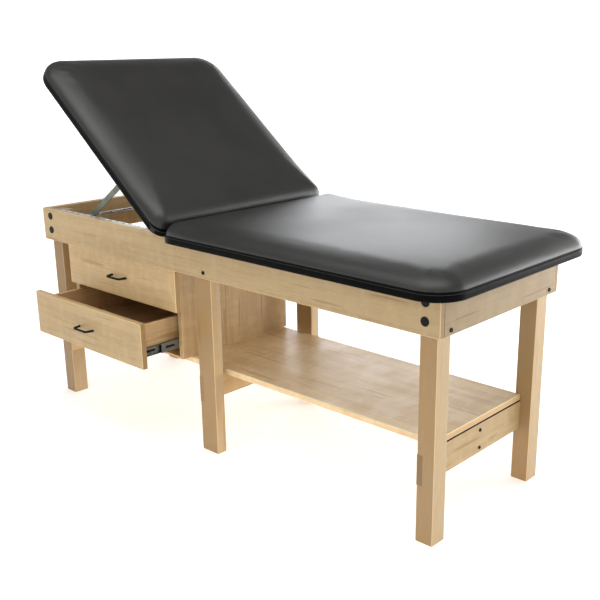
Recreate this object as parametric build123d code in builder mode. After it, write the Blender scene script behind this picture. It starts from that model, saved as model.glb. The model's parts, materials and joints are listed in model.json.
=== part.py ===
from build123d import *
from math import asin, cos, radians, sin
import os

# Maple treatment table: a rail-and-leg frame with a full-length shelf, a two-drawer cabinet under
# the head end, a fixed padded seat section and a padded backrest on a hinge and a ratchet prop.
# +X runs to the foot end, +Y to the rear, +Z up. The floor is Z = 0, millimetres throughout.

os.makedirs("parts", exist_ok=True)

# ---------------------------------------------------------------- driving dimensions
board = 19.0                 # thickness of rails, panels and fronts
frame_length = 1794.0
frame_width = 594.0
frame_top = 720.0
rail_height = 116.0
leg_size = 57.0              # corner legs: square, three laminated plies of 19 mm
mid_leg_width = 76.0         # middle legs along the table
mid_leg_depth = 38.0         # and across it: two plies
leg_top = 715.0
eased_edge = 1.6

pad_width = 762.0
pad_thickness = 46.0
pad_corner = 95.0            # corners at the two free ends
hinge_corner = 46.0          # corners beside the hinge
hinge_gap = 10.5             # end of each pad from the hinge line
pad_round = 40.0             # rounding of the top edges all round
seat_overhang = 69.0         # seat past the foot end rail
seat_deck_thickness = 19.0
back_deck_thickness = 18.0   # the backrest clears the rails when it lies flat
deck_inset = 3.0             # decks inside the edge of the pads
back_length = 790.0
back_angle = 39.0            # degrees above flat, as stored
hinge_from_head = 787.0      # hinge line from the head end of the rails

prop_anchor_along = 325.0    # prop pivot from the hinge, along the backrest
prop_anchor_drop = 30.0      # and below the hinge axis when flat
prop_length = 366.68         # pivot to foot rod
prop_from_middle = 230.0
strut_width = 20.0
strut_thickness = 4.0
foot_rod_radius = 6.0
foot_rod_length = 548.0
track_drop = 30.5            # track centre below the hinge axis

cross_rail_bottom = 172.0
cross_rail_top = 262.0
strip_thickness = 4.5
shelf_thickness = 19.0
shelf_depth = 441.0
stretcher_thickness = 28.0
stretcher_height = 80.0

mid_leg_from_head = 830.0    # front middle leg, and the lap joint of the middle cross rail
cabinet_from_head = 115.0    # outer face of the left panel
cabinet_width = 611.0
cabinet_depth = 490.0
cabinet_top = 603.0
thin_panel = 6.0
bottom_panel = 8.0

drawer_front_base = {"lower": 296.0, "upper": 453.0}
drawer_front_height = {"lower": 153.0, "upper": 147.0}
drawer_open = {"lower": 147.0, "upper": 0.0}
drawer_side = 12.0
drawer_box_length = 450.0
box_above_front_base = 26.0
box_below_front = 43.0       # box height is this much less than the front
slide_space = 13.0           # each side, between box and cabinet panel
slide_height = 35.0
slide_length = 445.0
sheet_metal = 1.2
slide_gap = 0.3

handle_centres = 80.0
handle_bar = 68.0
handle_projection = 28.0
handle_radius = 4.0

cap_radius = 13.0
cap_proud = 2.2
counterbore_radius = 11.0
counterbore_depth = 9.0
bolt_radius = 4.0
screw_radius = 3.0
screw_head_radius = 6.5
small_head_radius = 5.5      # heads of the stretcher screws
screw_head_height = 3.0
cap_heights = (643.0, 694.0)
end_screw_height = 619.0
mid_screw_height = 624.0
mid_screw_along = 66.0       # from the left face of the front middle leg

# ---------------------------------------------------------------- places worked out from them
# The stored object is centred on the floor, with the lower drawer open towards -Y.
head_x = -(frame_length + seat_overhang - screw_head_height) / 2
foot_x = head_x + frame_length
hinge_x = head_x + hinge_from_head
hinge_z = frame_top + seat_deck_thickness

leg_face = frame_width / 2 - board
leg_inner = leg_face - leg_size
front_face = leg_face - 1.0
front_reach = front_face + drawer_open["lower"] + handle_projection + handle_radius
middle_y = (front_reach - pad_width / 2) / 2

rail_bottom = frame_top - rail_height
shelf_bottom = cross_rail_top + strip_thickness
shelf_top = shelf_bottom + shelf_thickness

mid_leg_x = head_x + mid_leg_from_head
foot_leg_x = foot_x - board - leg_size
head_leg_x = head_x + board
rear_mid_leg_x = mid_leg_x + board - mid_leg_width
support_rail_x = mid_leg_x + mid_leg_width
support_rail_thickness = 28.0

cabinet_left = head_x + cabinet_from_head
cabinet_right = cabinet_left + cabinet_width
cabinet_front_y = middle_y - (front_face - board) + 0.6
cabinet_middle_x = (cabinet_left + cabinet_right) / 2

track_z = hinge_z - track_drop


# ---------------------------------------------------------------- shared makers
def save(piece, label):
    """Name a finished piece and write it to its own file."""
    piece.part.label = label
    export_step(piece.part, f"parts/{label}.step")


def slab(x, y, z, ease=eased_edge):
    """A flat board between the given limits, with its edges eased."""
    with BuildPart() as piece:
        with BuildSketch(Plane.XY.offset(z[0])):
            with Locations(((x[0] + x[1]) / 2, (y[0] + y[1]) / 2)):
                Rectangle(x[1] - x[0], y[1] - y[0])
        extrude(amount=z[1] - z[0])
        if ease > 0:
            chamfer(piece.edges(), ease)
    return piece


def side_plane(x, y, z, side):
    """A plane on the front (-1) or rear (1) face of the table, looking out of it."""
    return Plane(origin=(x, y, z), x_dir=(1, 0, 0), z_dir=(0, side, 0))


def end_plane(x, y, z, side):
    """A plane on the head (-1) or foot (1) face of the table, looking out of it."""
    return Plane(origin=(x, y, z), x_dir=(0, 1, 0), z_dir=(side, 0, 0))


# ---------------------------------------------------------------- top frame
mid_screw_x = {-1: mid_leg_x + mid_screw_along, 1: rear_mid_leg_x + mid_leg_width / 2}
corner_leg_middles = (head_leg_x + leg_size / 2, foot_leg_x + leg_size / 2)


def side_rail(side):
    outer = middle_y + side * frame_width / 2
    inner = outer - side * board
    with BuildPart() as piece:
        with BuildSketch(Plane.XY.offset(rail_bottom)):
            with Locations(((head_x + foot_x) / 2, (outer + inner) / 2)):
                Rectangle(frame_length, board)
        extrude(amount=rail_height)
        chamfer(piece.edges(), eased_edge)
        for x in corner_leg_middles:
            for z in cap_heights:
                with Locations(side_plane(x, outer, z, side)):
                    CounterBoreHole(bolt_radius + 0.3, counterbore_radius, counterbore_depth)
        with Locations(side_plane(mid_screw_x[side], outer, mid_screw_height, side)):
            Hole(screw_radius + 0.2, depth=board)
    return piece


def end_rail(side):
    outer = head_x if side < 0 else foot_x
    with BuildPart() as piece:
        with BuildSketch(Plane.XY.offset(rail_bottom)):
            with Locations((outer - side * board / 2, middle_y)):
                Rectangle(board, frame_width - 2 * board)
        extrude(amount=rail_height)
        chamfer(piece.edges().filter_by(Axis.Y), eased_edge)
        for across in (-1, 1):
            y = middle_y + across * (leg_inner + leg_size / 2)
            with Locations(end_plane(outer, y, end_screw_height, side)):
                Hole(screw_radius + 0.2, depth=board)
    return piece


front_side_rail = side_rail(-1)
save(front_side_rail, "front_side_rail")
rear_side_rail = side_rail(1)
save(rear_side_rail, "rear_side_rail")
head_end_rail = end_rail(-1)
save(head_end_rail, "head_end_rail")
foot_end_rail = end_rail(1)
save(foot_end_rail, "foot_end_rail")

# Cross rail glued in under the seat deck, beside the front middle leg
with BuildPart() as seat_support_rail:
    with BuildSketch(Plane.XY.offset(rail_bottom + 3)):
        with Locations((support_rail_x + support_rail_thickness / 2, middle_y)):
            Rectangle(support_rail_thickness, frame_width - 2 * board)
    extrude(amount=rail_height - 3)
    chamfer(seat_support_rail.edges().filter_by(Axis.Y), eased_edge)
save(seat_support_rail, "seat_support_rail")


# ---------------------------------------------------------------- legs
def leg(left, side, lap_face, bolted, width=leg_size, depth=leg_size):
    """A leg from its left face, on the front (-1) or rear (1) row.

    lap_face is -1 or 1: the end-facing side that the lower cross rail is let into.
    bolted is 0 for a middle leg, or the end (-1 or 1) whose rail is screwed to the leg.
    """
    outer = middle_y + side * leg_face
    centre = (left + width / 2, outer - side * depth / 2)
    with BuildPart() as piece:
        with BuildSketch():
            with Locations(centre):
                RectangleRounded(width, depth, 3)
        extrude(amount=leg_top)
        chamfer(piece.faces().sort_by(Axis.Z)[0].edges(), 2.5)
        fillet(piece.faces().sort_by(Axis.Z)[-1].edges(), 2.5)
        lap_x = left + board / 2 if lap_face < 0 else left + width - board / 2
        with BuildSketch(Plane.XY.offset(cross_rail_bottom)):
            with Locations((lap_x, centre[1])):
                Rectangle(board, depth)
        extrude(amount=cross_rail_top - cross_rail_bottom, mode=Mode.SUBTRACT)
        if bolted:
            for z in cap_heights:
                with Locations(side_plane(centre[0], outer, z, side)):
                    Hole(bolt_radius, depth=42)
            end_x = left if bolted < 0 else left + width
            with Locations(end_plane(end_x, centre[1], end_screw_height, bolted)):
                Hole(screw_radius, depth=34)
        else:
            with Locations(side_plane(mid_screw_x[side], outer, mid_screw_height, side)):
                Hole(screw_radius, depth=34)
    return piece


front_left_leg = leg(head_leg_x, -1, 1, -1)
save(front_left_leg, "front_left_leg")
rear_left_leg = leg(head_leg_x, 1, 1, -1)
save(rear_left_leg, "rear_left_leg")
front_middle_leg = leg(mid_leg_x, -1, -1, 0, mid_leg_width, mid_leg_depth)
save(front_middle_leg, "front_middle_leg")
rear_middle_leg = leg(rear_mid_leg_x, 1, 1, 0, mid_leg_width, mid_leg_depth)
save(rear_middle_leg, "rear_middle_leg")
front_right_leg = leg(foot_leg_x, -1, -1, 1)
save(front_right_leg, "front_right_leg")
rear_right_leg = leg(foot_leg_x, 1, -1, 1)
save(rear_right_leg, "rear_right_leg")

# ---------------------------------------------------------------- fasteners of the frame
with BuildPart() as bolt_caps:
    for side in (-1, 1):
        face_y = middle_y + side * frame_width / 2
        for x in corner_leg_middles:
            for z in cap_heights:
                with BuildSketch(side_plane(x, face_y, z, side)):
                    Circle(cap_radius)
                extrude(amount=cap_proud)
                with BuildSketch(side_plane(x, face_y, z, side)):
                    Circle(counterbore_radius)
                extrude(amount=-2.5)
    proud_face = frame_width / 2 + cap_proud
    outer_cap_edges = bolt_caps.edges().filter_by(
        lambda e: abs(abs(e.center().Y - middle_y) - proud_face) < 0.01
    )
    fillet(outer_cap_edges, 1.4)
save(bolt_caps, "bolt_caps")

bolt_head_height = 5.5
with BuildPart() as leg_bolts:
    for side in (-1, 1):
        seat_y = middle_y + side * (frame_width / 2 - counterbore_depth)
        for x in corner_leg_middles:
            for z in cap_heights:
                with BuildSketch(side_plane(x, seat_y, z, side)):
                    RegularPolygon(7.5, 6)
                extrude(amount=bolt_head_height)
                with BuildSketch(side_plane(x, seat_y, z, side)):
                    Circle(bolt_radius)
                extrude(amount=-(board - counterbore_depth + 38))
save(leg_bolts, "leg_bolts")


def frame_screw(plane, length, head_radius):
    """A round-headed frame screw: the shank goes into the plane, the head stands on it."""
    with BuildSketch(plane) as shank:
        Circle(screw_radius)
    extrude(shank.sketch, amount=-length)
    with BuildSketch(plane) as head:
        Circle(head_radius)
    extrude(head.sketch, amount=screw_head_height, taper=18)


with BuildPart() as rail_screws:
    for side in (-1, 1):
        face_y = middle_y + side * frame_width / 2
        screw_place = side_plane(mid_screw_x[side], face_y, mid_screw_height, side)
        frame_screw(screw_place, board + 32, screw_head_radius)
        end_x = head_x if side < 0 else foot_x
        for across in (-1, 1):
            y = middle_y + across * (leg_inner + leg_size / 2)
            screw_place = end_plane(end_x, y, end_screw_height, side)
            frame_screw(screw_place, board + 32, screw_head_radius)
save(rail_screws, "rail_screws")

# ---------------------------------------------------------------- lower frame and shelf
cross_rail_places = {
    "head_cross_rail": head_leg_x + leg_size - board,
    "middle_cross_rail": mid_leg_x,
    "foot_cross_rail": foot_leg_x,
}
stretcher_screw_heights = (187.0, 242.0)
for label, left in cross_rail_places.items():
    with BuildPart() as cross_rail:
        with BuildSketch(Plane.XY.offset(cross_rail_bottom)):
            with Locations((left + board / 2, middle_y)):
                Rectangle(board, 2 * leg_face)
        extrude(amount=cross_rail_top - cross_rail_bottom)
        if label != "middle_cross_rail":
            with Locations(*[end_plane(left, middle_y, z, -1) for z in stretcher_screw_heights]):
                Hole(screw_radius + 0.2, depth=board)
    save(cross_rail, label)

stretcher_z = cross_rail_bottom + 4
stretcher_runs = (
    (cross_rail_places["head_cross_rail"] + board, cross_rail_places["middle_cross_rail"], -1),
    (cross_rail_places["middle_cross_rail"] + board, cross_rail_places["foot_cross_rail"], 1),
)
with BuildPart() as centre_stretchers:
    for start, end, bolted in stretcher_runs:
        with BuildSketch(Plane.XY.offset(stretcher_z)):
            with Locations(((start + end) / 2, middle_y)):
                Rectangle(end - start, stretcher_thickness)
        extrude(amount=stretcher_height)
        bolted_x = start if bolted < 0 else end
        with Locations(*[end_plane(bolted_x, middle_y, z, bolted) for z in stretcher_screw_heights]):
            Hole(screw_radius, depth=36)
    chamfer(centre_stretchers.edges().filter_by(Axis.X), eased_edge)
save(centre_stretchers, "centre_stretchers")

with BuildPart() as stretcher_screws:
    head_face = cross_rail_places["head_cross_rail"]
    foot_face = cross_rail_places["foot_cross_rail"] + board
    for z in stretcher_screw_heights:
        frame_screw(end_plane(head_face, middle_y, z, -1), board + 34, small_head_radius)
        frame_screw(end_plane(foot_face, middle_y, z, 1), board + 34, small_head_radius)
save(stretcher_screws, "stretcher_screws")

shelf_x = (cross_rail_places["head_cross_rail"], cross_rail_places["foot_cross_rail"] + board)
shelf_y = (middle_y - shelf_depth / 2, middle_y + shelf_depth / 2)
shelf = slab(shelf_x, shelf_y, (shelf_bottom, shelf_top))
save(shelf, "shelf")

with BuildPart() as shelf_strips:
    for left in cross_rail_places.values():
        with BuildSketch(Plane.XY.offset(cross_rail_top)):
            with Locations((left + board / 2, middle_y)):
                Rectangle(board, shelf_depth)
        extrude(amount=strip_thickness)
save(shelf_strips, "shelf_strips")

# ---------------------------------------------------------------- seat section
# Both sections share one deck shape and one pad shape, laid out from the hinge line.


def deck_solid(plan, length, thickness):
    """A deck on its plan plane: x runs from the hinge line, the thickness along the normal."""
    with BuildPart() as piece:
        with BuildSketch(plan) as outline:
            with Locations((length / 2, 0)):
                Rectangle(length - 2 * deck_inset, pad_width - 2 * deck_inset)
            fillet([v for v in outline.vertices() if v.X > length / 2], pad_corner - deck_inset)
            fillet([v for v in outline.vertices() if v.X < deck_inset + 1], hinge_corner)
        extrude(amount=thickness)
    return piece


def pad_solid(profile, length):
    """A plain pad on the plane of its side profile, with its top edges rounded all round.

    The rounding lets the two pads clear each other beside the hinge as the back rises.
    """
    plan = Plane(origin=profile.origin, x_dir=profile.x_dir, z_dir=profile.y_dir)
    with BuildPart() as piece:
        with BuildSketch(plan) as outline:
            with Locations(((hinge_gap + length) / 2, 0)):
                Rectangle(length - hinge_gap, pad_width)
            fillet([v for v in outline.vertices() if v.X > length / 2], pad_corner)
            fillet([v for v in outline.vertices() if v.X < hinge_gap + 1], hinge_corner)
        extrude(amount=pad_thickness)
        top = piece.faces().sort_by(lambda f: f.center().dot(profile.y_dir))[-1]
        fillet(top.edges(), pad_round)
    return piece


seat_length = foot_x + seat_overhang - hinge_x
seat_profile = Plane(origin=(hinge_x, middle_y, hinge_z), x_dir=(1, 0, 0), z_dir=(0, -1, 0))
seat_plan = Plane(origin=(hinge_x, middle_y, frame_top), x_dir=(1, 0, 0), z_dir=(0, 0, 1))
seat_deck = deck_solid(seat_plan, seat_length, seat_deck_thickness)
save(seat_deck, "seat_deck")
seat_pad = pad_solid(seat_profile, seat_length)
save(seat_pad, "seat_pad")

# ---------------------------------------------------------------- backrest
lean = radians(back_angle)
back_along = (-cos(lean), 0, sin(lean))
back_normal = (sin(lean), 0, cos(lean))
back_profile = Plane(origin=(hinge_x, middle_y, hinge_z), x_dir=back_along, z_dir=(0, 1, 0))
back_plane = Plane(origin=(hinge_x, middle_y, hinge_z), x_dir=back_along, z_dir=back_normal)

back_pad = pad_solid(back_profile, back_length)
save(back_pad, "back_pad")

back_deck_plan = back_plane.offset(-back_deck_thickness)
back_deck = deck_solid(back_deck_plan, back_length, back_deck_thickness)
save(back_deck, "back_deck")

# ---------------------------------------------------------------- backrest hinges
hinge_places = (-280.0, 0.0, 280.0)
knuckle_radius = 2.7
hinge_pin_radius = 1.5
hinge_hole_radius = 1.55
knuckle_length = 14.0
knuckle_gap = 0.4
leaf = 1.5
leaf_height = 16.0
knuckles_per_hinge = 5
hinge_length = knuckles_per_hinge * knuckle_length


def hinge_leaves(plane, first):
    """Leaves and knuckles of every hinge for one section, on the plane of its end profile.

    The leaf lies against the deck's end. first is 0 or 1: which knuckles this leaf carries.
    """
    inner = deck_inset - leaf - 0.1
    with BuildPart() as piece:
        for place in hinge_places:
            start = place - hinge_length / 2
            with BuildSketch(plane.offset(start)):
                with Locations((inner + leaf / 2, -knuckle_radius - leaf_height / 2 + 1.5)):
                    Rectangle(leaf, leaf_height)
            extrude(amount=hinge_length)
            for index in range(first, knuckles_per_hinge, 2):
                low = start + index * knuckle_length + knuckle_gap / 2
                with BuildSketch(plane.offset(low)):
                    Circle(knuckle_radius)
                    with Locations((inner + leaf / 2, -knuckle_radius / 2)):
                        Rectangle(leaf, knuckle_radius + 3)
                extrude(amount=knuckle_length - knuckle_gap)
            for index in range(1 - first, knuckles_per_hinge, 2):
                low = start + index * knuckle_length - knuckle_gap / 2
                with BuildSketch(plane.offset(low)):
                    Circle(knuckle_radius + 0.4)
                extrude(amount=knuckle_length + knuckle_gap, mode=Mode.SUBTRACT)
            with BuildSketch(plane.offset(start - 1)):
                Circle(hinge_hole_radius)
            extrude(amount=hinge_length + 2, mode=Mode.SUBTRACT)
    return piece


# Each hinge is symmetrical about its middle, so the two sets of knuckles interleave
seat_hinge_leaves = hinge_leaves(seat_profile, 0)
save(seat_hinge_leaves, "seat_hinge_leaves")
back_hinge_leaves = hinge_leaves(back_profile, 1)
save(back_hinge_leaves, "back_hinge_leaves")

with BuildPart() as hinge_pins:
    for place in hinge_places:
        with BuildSketch(seat_profile.offset(place - hinge_length / 2)):
            Circle(hinge_pin_radius)
        extrude(amount=hinge_length)
save(hinge_pins, "hinge_pins")

# ---------------------------------------------------------------- ratchet prop
anchor = back_profile.from_local_coords((prop_anchor_along, -prop_anchor_drop, 0))
prop_angle = asin((anchor.Z - track_z) / prop_length)
prop_along = Vector(-cos(prop_angle), 0, -sin(prop_angle))
prop_plane = Plane(origin=anchor, x_dir=prop_along, z_dir=(0, 1, 0))
pivot_radius = 4.0
lug = 4.0

with BuildPart() as prop_struts:
    for side in (-1, 1):
        with BuildSketch(prop_plane.offset(side * prop_from_middle - strut_thickness / 2)):
            with Locations((prop_length / 2, 0)):
                SlotCenterToCenter(prop_length, strut_width)
            with Locations((0, 0)):
                Circle(pivot_radius + 0.05, mode=Mode.SUBTRACT)
            with Locations((prop_length, 0)):
                Circle(foot_rod_radius, mode=Mode.SUBTRACT)
        extrude(amount=strut_thickness)
save(prop_struts, "prop_struts")

foot = prop_plane.from_local_coords((prop_length, 0, 0))
foot_plane = Plane(origin=foot, x_dir=(1, 0, 0), z_dir=(0, 1, 0))
with BuildPart() as prop_foot_rod:
    with BuildSketch(foot_plane.offset(-foot_rod_length / 2)):
        Circle(foot_rod_radius)
    extrude(amount=foot_rod_length)
    chamfer(prop_foot_rod.edges(), 0.8)
save(prop_foot_rod, "prop_foot_rod")

# Each bracket is a base plate under the deck with one lug beside the strut
bracket_length = 56.0
bracket_width = 26.0
base_plate = 3.0
lug_radius = 9.0
pin_head_radius = 7.0
pin_head_height = 3.0
deck_under = -back_deck_thickness
lug_gap = 0.6
with BuildPart() as prop_brackets:
    for side in (-1, 1):
        near = side * (prop_from_middle + strut_thickness / 2 + lug_gap)
        low = min(near, near + side * bracket_width)
        with BuildSketch(back_profile.offset(low)):
            with Locations((prop_anchor_along, deck_under - base_plate / 2)):
                Rectangle(bracket_length, base_plate)
        extrude(amount=bracket_width)
        low = min(near, near + side * lug)
        with BuildSketch(back_profile.offset(low)):
            with Locations((prop_anchor_along, -prop_anchor_drop)):
                Circle(lug_radius)
            with Locations((prop_anchor_along, (deck_under - prop_anchor_drop) / 2)):
                Rectangle(2 * lug_radius, abs(deck_under + prop_anchor_drop))
            with Locations((prop_anchor_along, -prop_anchor_drop)):
                Circle(pivot_radius, mode=Mode.SUBTRACT)
        extrude(amount=lug)
save(prop_brackets, "prop_brackets")

with BuildPart() as prop_pivot_pins:
    for side in (-1, 1):
        start = side * (prop_from_middle - strut_thickness / 2 - lug_gap)
        end = side * (prop_from_middle + strut_thickness / 2 + lug_gap + lug)
        with BuildSketch(prop_plane.offset(min(start, end))):
            Circle(pivot_radius)
        extrude(amount=abs(end - start))
        with BuildSketch(prop_plane.offset(min(start, start - side * pin_head_height))):
            Circle(pin_head_radius)
        extrude(amount=pin_head_height)
save(prop_pivot_pins, "prop_pivot_pins")

# Channels on the inner faces of the side rails carry the ends of the foot rod
track_start = head_leg_x + leg_size + 2
track_end = hinge_x - 205    # short of the strut's travel under the hinge
track_wall = 1.5
track_inner = 15.0
track_depth = 18.0
track_slot_pitch = 38.0
track_slot = (19.0, 8.0)
track_plain_end = 30.0       # no slots this near the hinge end
with BuildPart() as ratchet_tracks:
    for side in (-1, 1):
        web_y = middle_y + side * (leg_face - track_wall / 2)
        lip_y = middle_y + side * (leg_face - track_depth / 2)
        middle_x = (track_start + track_end) / 2
        with BuildSketch(Plane.XY.offset(track_z - track_inner / 2 - track_wall)):
            with Locations((middle_x, web_y)):
                Rectangle(track_end - track_start, track_wall)
        extrude(amount=track_inner + 2 * track_wall)
        for height in (-track_inner / 2 - track_wall, track_inner / 2):
            with BuildSketch(Plane.XY.offset(track_z + height)):
                with Locations((middle_x, lip_y)):
                    Rectangle(track_end - track_start, track_depth)
            extrude(amount=track_wall)
        slot_count = int((track_end - track_start - 40) / track_slot_pitch)
        with BuildSketch(Plane.XY.offset(track_z + track_inner / 2)):
            with Locations((track_end - track_plain_end - slot_count * track_slot_pitch / 2, lip_y)):
                with GridLocations(track_slot_pitch, 1, slot_count, 1):
                    Rectangle(*track_slot)
        extrude(amount=track_wall, mode=Mode.SUBTRACT)
save(ratchet_tracks, "ratchet_tracks")

# ---------------------------------------------------------------- drawer cabinet
cabinet_y = (cabinet_front_y, cabinet_front_y + cabinet_depth)
inner_x = (cabinet_left + board, cabinet_right - board)
panel_z = (shelf_top, cabinet_top)
cabinet_left_panel = slab((cabinet_left, cabinet_left + board), cabinet_y, panel_z, 1)
save(cabinet_left_panel, "cabinet_left_panel")
cabinet_right_panel = slab((cabinet_right - board, cabinet_right), cabinet_y, panel_z, 1)
save(cabinet_right_panel, "cabinet_right_panel")
cabinet_top_panel = slab(inner_x, cabinet_y, (cabinet_top - board, cabinet_top), 0)
save(cabinet_top_panel, "cabinet_top_panel")
cabinet_bottom_panel = slab(inner_x, cabinet_y, (shelf_top, shelf_top + bottom_panel), 0)
save(cabinet_bottom_panel, "cabinet_bottom_panel")
back_y = (cabinet_y[1] - thin_panel, cabinet_y[1])
back_z = (shelf_top + bottom_panel, cabinet_top - board)
cabinet_back_panel = slab(inner_x, back_y, back_z, 0)
save(cabinet_back_panel, "cabinet_back_panel")

# ---------------------------------------------------------------- drawers
bottom_rise = 6.0            # drawer bottom above the lower edges of the box
handle_bend = 9.0
handle_screw_radius = 1.8
handle_screw_head = 4.2
handle_screw_reach = 6.0     # into the foot of the handle
box_ease = 0.8
box_x = (inner_x[0] + slide_space, inner_x[1] - slide_space)


def drawer_panel(name, piece_name, x, y, z, ease=0.0):
    piece = slab(x, y, z, ease)
    save(piece, f"{name}_drawer_{piece_name}")


def drawer(name):
    """The boards of one drawer box, its front and its pull."""
    face_y = middle_y - front_face - drawer_open[name]
    behind = face_y + board
    base = drawer_front_base[name]
    box_z = (base + box_above_front_base,
             base + box_above_front_base + drawer_front_height[name] - box_below_front)
    rear = behind + drawer_box_length
    within = (box_x[0] + drawer_side, box_x[1] - drawer_side)
    drawer_panel(name, "left_side", (box_x[0], within[0]), (behind, rear), box_z, box_ease)
    drawer_panel(name, "right_side", (within[1], box_x[1]), (behind, rear), box_z, box_ease)
    drawer_panel(name, "back", within, (rear - drawer_side, rear), box_z, box_ease)
    bottom_z = (box_z[0] + bottom_rise, box_z[0] + bottom_rise + thin_panel)
    inner_y = (behind + drawer_side, rear - drawer_side)
    drawer_panel(name, "bottom", within, inner_y, bottom_z)

    handle_z = base + drawer_front_height[name] / 2
    screw_x = [cabinet_middle_x + side * handle_centres / 2 for side in (-1, 1)]
    with BuildPart() as sub_front:
        with BuildSketch(Plane.XY.offset(box_z[0])):
            with Locations((cabinet_middle_x, behind + drawer_side / 2)):
                Rectangle(within[1] - within[0], drawer_side)
        extrude(amount=box_z[1] - box_z[0])
        with Locations(*[side_plane(x, behind + drawer_side, handle_z, 1) for x in screw_x]):
            Hole(handle_screw_radius + 0.4, depth=drawer_side)
    save(sub_front, f"{name}_drawer_sub_front")

    with BuildPart() as front:
        with BuildSketch(Plane.XY.offset(base)):
            with Locations((cabinet_middle_x, face_y + board / 2)):
                Rectangle(cabinet_width, board)
        extrude(amount=drawer_front_height[name])
        fillet(front.faces().sort_by(Axis.Y)[0].edges(), 3)
        with Locations(*[side_plane(x, face_y, handle_z, -1) for x in screw_x]):
            Hole(handle_screw_radius + 0.4, depth=board)
    save(front, f"{name}_drawer_front")

    half, bar = handle_centres / 2, handle_bar / 2
    reach = face_y - handle_projection
    with BuildPart() as handle:
        with BuildLine(Plane.XY.offset(handle_z)) as path:
            FilletPolyline(
                (cabinet_middle_x - half, face_y),
                (cabinet_middle_x - bar, reach),
                (cabinet_middle_x + bar, reach),
                (cabinet_middle_x + half, face_y),
                radius=handle_bend,
            )
        with BuildSketch(path.wire() ^ 0):
            Circle(handle_radius)
        sweep()
        # trim the swept ends flush with the drawer front
        with BuildSketch(side_plane(cabinet_middle_x, face_y, handle_z, 1)):
            Rectangle(handle_centres + 40, 40)
        extrude(amount=10, mode=Mode.SUBTRACT)
        with Locations(*[side_plane(x, face_y, handle_z, 1) for x in screw_x]):
            Hole(handle_screw_radius, depth=handle_screw_reach + 2)
    save(handle, f"{name}_drawer_handle")

    with BuildPart() as screws:
        seat = behind + drawer_side
        for x in screw_x:
            with BuildSketch(side_plane(x, seat, handle_z, 1)):
                Circle(handle_screw_head)
            extrude(amount=2.4)
            with BuildSketch(side_plane(x, seat, handle_z, 1)):
                Circle(handle_screw_radius)
            extrude(amount=-(drawer_side + board + handle_screw_reach))
    save(screws, f"{name}_drawer_handle_screws")


for drawer_name in drawer_front_base:
    drawer(drawer_name)


# ---------------------------------------------------------------- drawer slides
def channel(web_x, inward, height, depth, y, z):
    """One slide member: a C channel along Y with its web at web_x, open towards inward."""
    low = z - height / 2
    with BuildSketch(Plane.XY.offset(low)) as web:
        with Locations((web_x + inward * sheet_metal / 2, (y[0] + y[1]) / 2)):
            Rectangle(sheet_metal, y[1] - y[0])
    extrude(web.sketch, amount=height)
    for start in (low, low + height - sheet_metal):
        with BuildSketch(Plane.XY.offset(start)) as lip:
            with Locations((web_x + inward * depth / 2, (y[0] + y[1]) / 2)):
                Rectangle(depth, y[1] - y[0])
        extrude(lip.sketch, amount=sheet_metal)


slide_slot = (38.0, 8.0)
slot_middles = (36.0, 110.0, 230.0)      # from the front end; one more near the rear end


def slide_slots(web_x, y, z):
    """Long slots through a member's web, as punched for its screws."""
    slot_plane = end_plane(web_x, 0, z, 1)
    with BuildSketch(slot_plane.offset(-3)) as slots:
        for middle in [y[0] + along for along in slot_middles] + [y[1] - 60]:
            with Locations((middle, 0)):
                SlotOverall(*slide_slot)
    extrude(slots.sketch, amount=6, mode=Mode.SUBTRACT)


outer_depth = 9.0
middle_depth = 8.5
inner_depth = 9.0
middle_height = slide_height - 2 * (sheet_metal + slide_gap)
inner_height = middle_height - 2 * (sheet_metal + slide_gap)
slide_rear_gap = 1.0


def slide_z(name):
    return drawer_front_base[name] + box_above_front_base + slide_height / 2 + 0.5


def slide_y(shift):
    start = cabinet_front_y + slide_rear_gap - shift
    return (start, start + slide_length)


with BuildPart() as slide_outer_members:
    for name in drawer_front_base:
        for web_x, inward in ((inner_x[0], 1), (inner_x[1], -1)):
            channel(web_x, inward, slide_height, outer_depth, slide_y(0), slide_z(name))
save(slide_outer_members, "slide_outer_members")

for name in drawer_front_base:
    with BuildPart() as slide_middle_members:
        for wall_x, inward in ((inner_x[0], 1), (inner_x[1], -1)):
            web_x = wall_x + inward * (sheet_metal + slide_gap)
            y = slide_y(drawer_open[name] / 2)
            channel(web_x, inward, middle_height, middle_depth, y, slide_z(name))
            slide_slots(web_x, y, slide_z(name))
    save(slide_middle_members, f"{name}_slide_middle_members")
    with BuildPart() as slide_inner_members:
        for wall_x, inward in ((inner_x[0], 1), (inner_x[1], -1)):
            web_x = wall_x + inward * slide_space
            y = slide_y(drawer_open[name])
            channel(web_x, -inward, inner_height, inner_depth, y, slide_z(name))
            slide_slots(web_x, y, slide_z(name))
    save(slide_inner_members, f"{name}_slide_inner_members")
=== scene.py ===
import json
import math
import random

import bmesh
import bpy
import numpy as np
from mathutils import Matrix, Vector
from mathutils.geometry import delaunay_2d_cdt


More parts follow.
